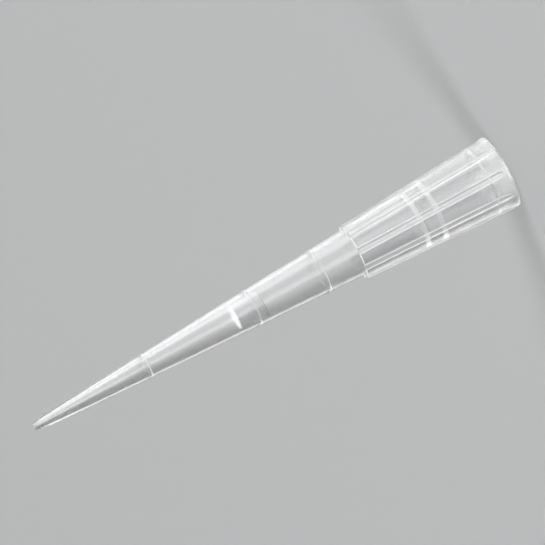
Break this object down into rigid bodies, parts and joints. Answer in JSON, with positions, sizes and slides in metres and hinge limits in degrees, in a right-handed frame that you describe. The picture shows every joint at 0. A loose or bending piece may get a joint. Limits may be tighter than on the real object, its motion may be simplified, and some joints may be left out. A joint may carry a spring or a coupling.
{
  "type": "pipette tip",
  "caption": "Slender conical laboratory pipette tip with raised graduation rings, a ribbed collar, a stepped nozzle socket and a porous filter plug in its bore.",
  "frame": {"origin": "centre of the mouth rim, on the plane that the rim rests on", "axes": "+Z along the bore from the mouth to the orifice, one rib of the collar faces -Y"},
  "size_m": [0.0072, 0.0072, 0.05],
  "materials": {
    "polypropylene": "clear natural polypropylene, glossy, slightly milky",
    "porous_filter": "white sintered polyethylene beads, matt and grainy"
  },
  "bodies": {
    "root": {"tip_body": "polypropylene", "filter_plug": "porous_filter"}
  },
  "joints": []
}
